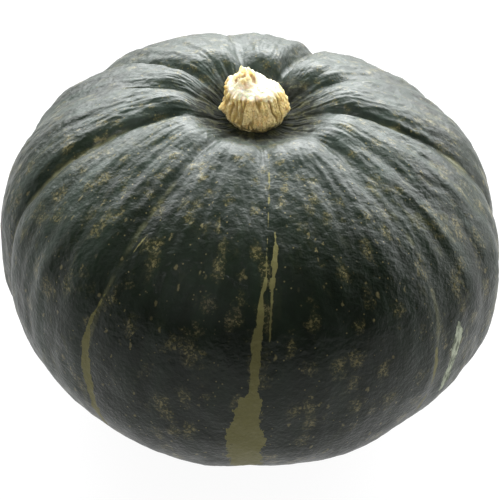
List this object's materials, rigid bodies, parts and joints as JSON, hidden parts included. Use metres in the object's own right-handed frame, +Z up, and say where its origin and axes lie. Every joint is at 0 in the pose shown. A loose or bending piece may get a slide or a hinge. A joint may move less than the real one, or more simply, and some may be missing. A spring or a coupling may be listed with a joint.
{
  "type": "kabocha squash",
  "caption": "Flattened, ribbed winter squash with dark green mottled rind and a dry corky stem stub set in a hollow on top; stands upright on its own base.",
  "frame": {"origin": "middle of the fruit's outline seen from above, on the floor that it rests on", "axes": "+Z up through the stem, the squat fruit's shortest direction; -Y towards the front, where the pale streak runs down a groove; +X to the right seen from the front"},
  "size_m": [0.1812, 0.1776, 0.1356],
  "materials": {
    "rind": "dark blue-green waxy skin, satin, with ochre specks and khaki streaks",
    "cork": "dry matt golden-tan cork, furrowed, paler and crumbly on top"
  },
  "bodies": {
    "root": {"fruit": "rind", "stem": "cork"}
  },
  "joints": []
}
